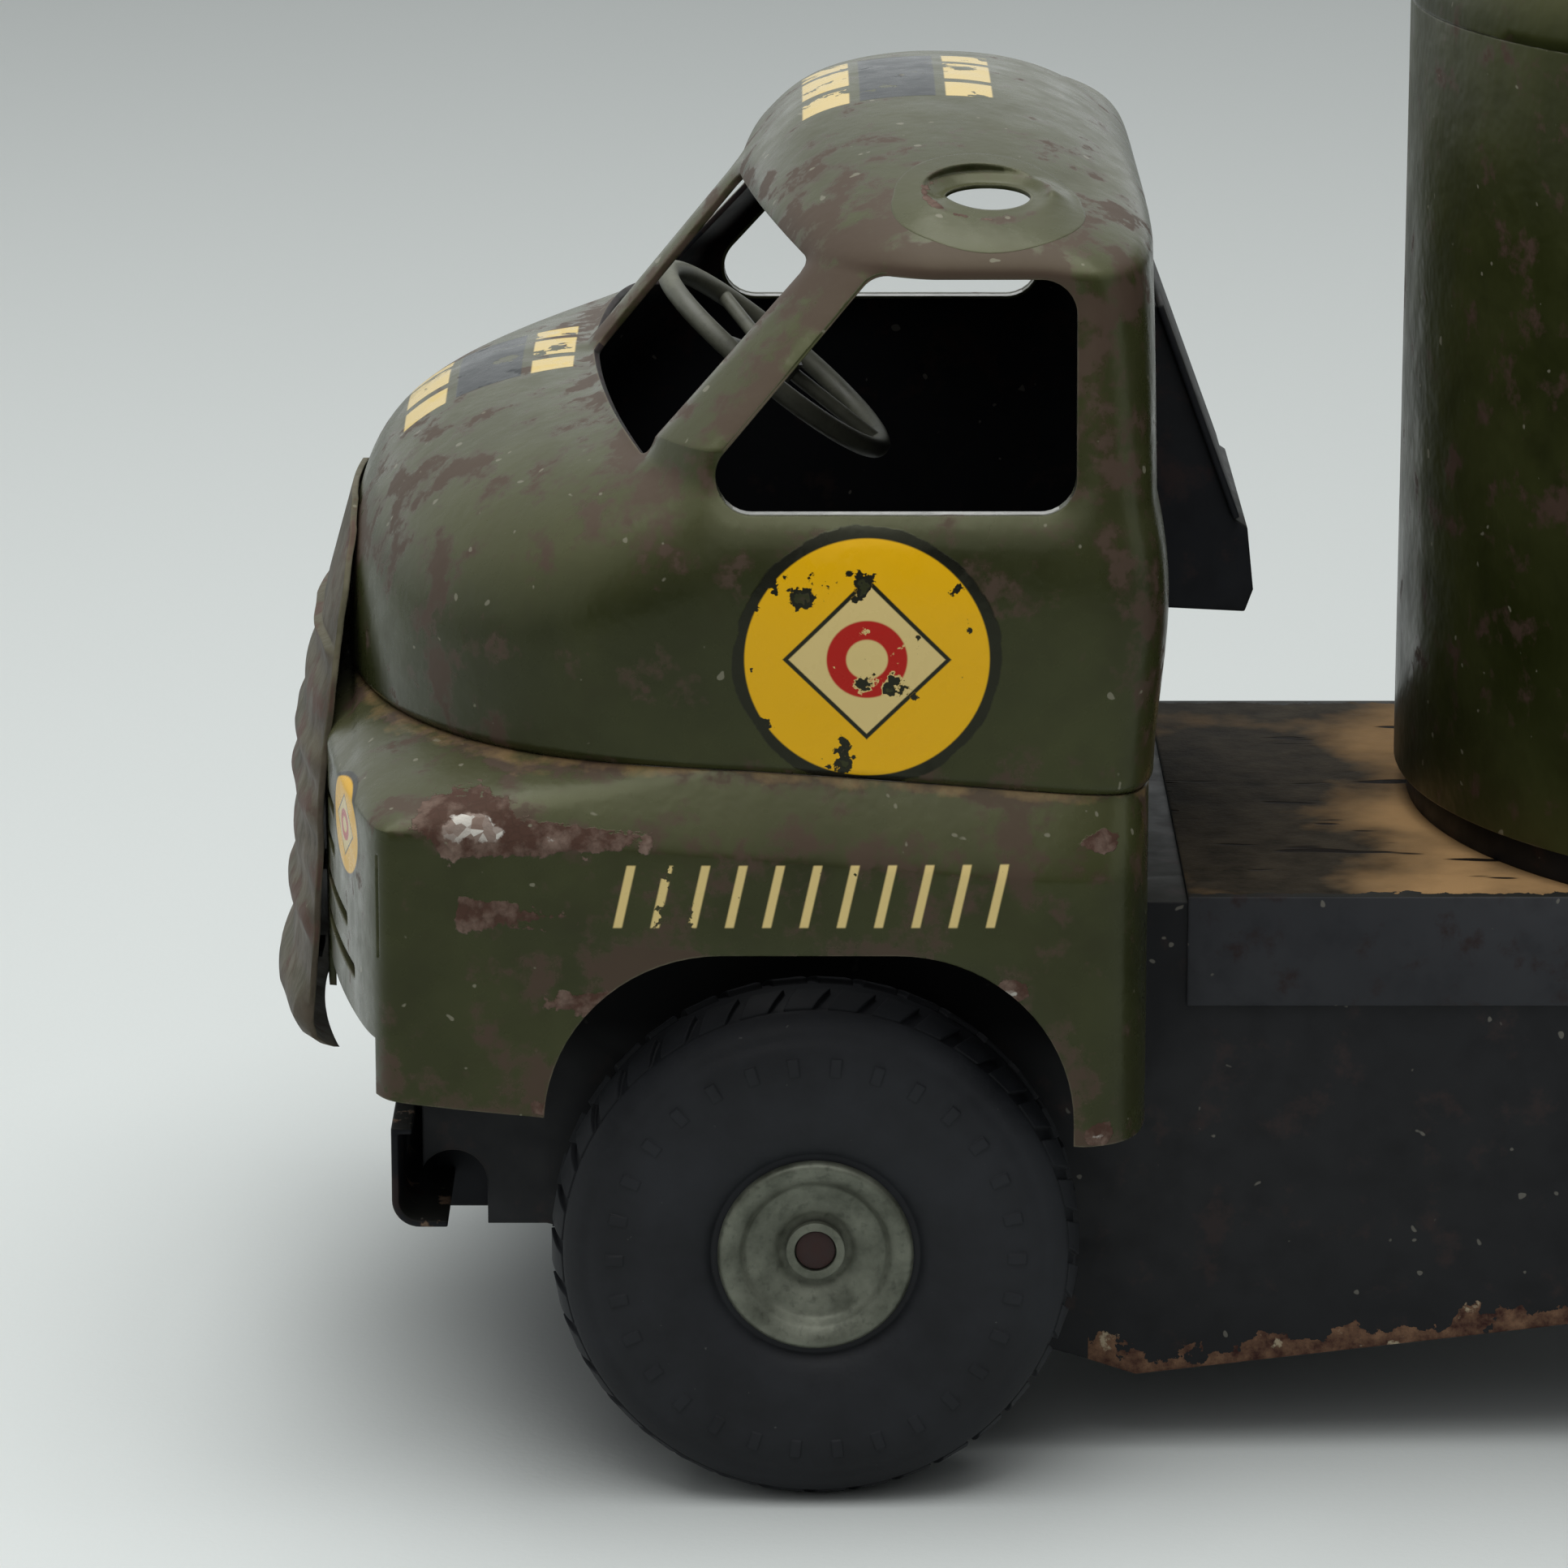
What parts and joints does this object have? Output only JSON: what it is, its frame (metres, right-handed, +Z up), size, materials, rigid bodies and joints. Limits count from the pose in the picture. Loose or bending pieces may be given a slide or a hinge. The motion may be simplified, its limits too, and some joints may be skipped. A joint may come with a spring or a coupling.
{
  "type": "toy tanker truck",
  "caption": "Pressed-tin toy tanker truck: rounded cab with open windows, deep channel chassis, upright round-ended tank, rubber-tyred wheels that roll.",
  "frame": {"origin": "on the ground under the middle of the truck", "axes": "-X ahead, -Y the truck's left side, +Z up"},
  "size_m": [0.418, 0.174, 0.2337],
  "materials": {
    "olive_paint": "worn satin enamel",
    "black_paint": "worn satin enamel",
    "grey_paint": "worn satin enamel",
    "rusted_bed": "paint worn to rusty tin",
    "rusted_plate": "rusty tin",
    "rusted_steel": "rusty steel",
    "zinc_plate": "dull zinc",
    "tyre_rubber": "matt rubber"
  },
  "bodies": {
    "truck": {"chassis": "black_paint", "bed_tray": "rusted_bed", "wing_unit": "olive_paint", "cab_shell": "olive_paint", "cab_pillars": "olive_paint", "cab_roof": "olive_paint", "hatch_ring": "olive_paint", "cab_back": "black_paint", "rear_locker": "black_paint", "locker_lid": "black_paint", "grille": "rusted_plate", "grille_tabs": "black_paint", "front_bumper": "black_paint", "bumper_brackets": "black_paint", "column_bracket": "black_paint", "steering_column": "black_paint", "steering_cap": "zinc_plate", "front_axle": "rusted_steel", "rear_axle": "rusted_steel", "axle_washers": "zinc_plate", "tank_plinth": "black_paint", "tank_floor": "olive_paint", "tank_wall": "olive_paint", "tank_top": "olive_paint", "tank_bolts": "zinc_plate", "filler_neck": "olive_paint", "lid_pin": "zinc_plate", "outlet_pipe": "zinc_plate", "tap_body": "zinc_plate"},
    "front_left_wheel": {"tyre_front_left": "tyre_rubber", "hub_outer_front_left": "zinc_plate", "hub_inner_front_left": "zinc_plate", "hub_tube_front_left": "zinc_plate"},
    "front_right_wheel": {"tyre_front_right": "tyre_rubber", "hub_outer_front_right": "zinc_plate", "hub_inner_front_right": "zinc_plate", "hub_tube_front_right": "zinc_plate"},
    "rear_left_wheel": {"tyre_rear_left": "tyre_rubber", "hub_outer_rear_left": "zinc_plate", "hub_inner_rear_left": "zinc_plate", "hub_tube_rear_left": "zinc_plate"},
    "rear_right_wheel": {"tyre_rear_right": "tyre_rubber", "hub_outer_rear_right": "zinc_plate", "hub_inner_rear_right": "zinc_plate", "hub_tube_rear_right": "zinc_plate"},
    "steering": {"steering_wheel": "grey_paint"},
    "filler_cover": {"filler_lid": "olive_paint"},
    "tap_handle": {"tap_key": "zinc_plate"}
  },
  "joints": [
    {"name": "front_left_spin", "type": "hinge", "parent": "truck", "child": "front_left_wheel", "pos_m": [-0.127, -0.0695, 0.038], "axis": [0, 1, 0], "continuous": true},
    {"name": "front_right_spin", "type": "hinge", "parent": "truck", "child": "front_right_wheel", "pos_m": [-0.127, 0.0695, 0.038], "axis": [0, 1, 0], "continuous": true},
    {"name": "rear_left_spin", "type": "hinge", "parent": "truck", "child": "rear_left_wheel", "pos_m": [0.123, -0.0695, 0.038], "axis": [0, 1, 0], "continuous": true},
    {"name": "rear_right_spin", "type": "hinge", "parent": "truck", "child": "rear_right_wheel", "pos_m": [0.123, 0.0695, 0.038], "axis": [0, 1, 0], "continuous": true},
    {"name": "steering_turn", "type": "hinge", "parent": "truck", "child": "steering", "pos_m": [-0.133, 0.035, 0.145], "axis": [0.6293, 0, 0.7771], "continuous": true},
    {"name": "filler_hinge", "type": "hinge", "parent": "truck", "child": "filler_cover", "pos_m": [0.095, 0, 0.231], "axis": [0, 1, 0], "range_deg": [0, 110]},
    {"name": "tap_turn", "type": "hinge", "parent": "truck", "child": "tap_handle", "pos_m": [0.196, 0, 0.104], "axis": [0, 0, 1], "range_deg": [0, 90]}
  ]
}
